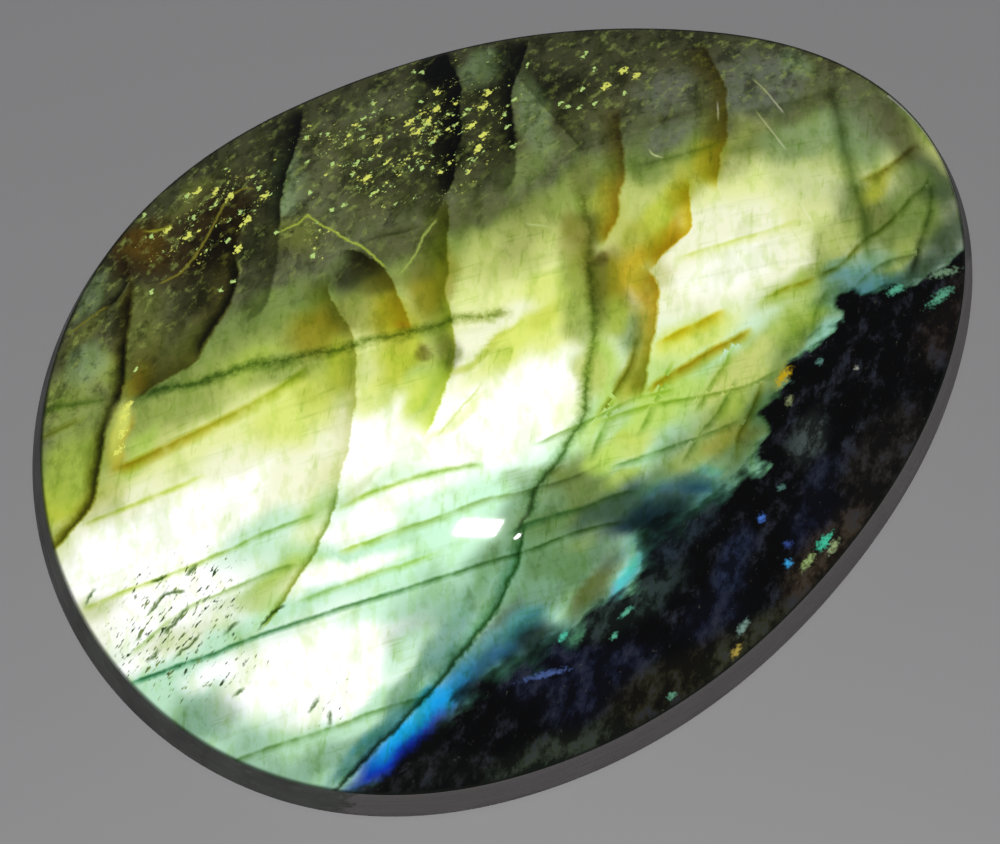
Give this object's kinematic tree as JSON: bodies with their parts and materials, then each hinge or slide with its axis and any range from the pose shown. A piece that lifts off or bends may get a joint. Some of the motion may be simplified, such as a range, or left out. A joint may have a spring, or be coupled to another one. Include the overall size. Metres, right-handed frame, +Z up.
{
  "type": "polished labradorite cabochon",
  "caption": "Freeform egg-shaped gemstone cabochon: flat back with a fine bevel, girdle wall leaning inwards and a low polished dome.",
  "frame": {"origin": "middle of the outline's box, on the flat back that the stone rests on", "axes": "+X along the stone's length towards its narrow end, +Y across its width, +Z up from the back through the dome"},
  "size_m": [0.04, 0.03, 0.0065],
  "materials": {
    "labradorite": "high polish over fractured feldspar that flashes green, gold and blue, with black matrix on one side"
  },
  "bodies": {
    "root": {"cabochon": "labradorite"}
  },
  "joints": []
}
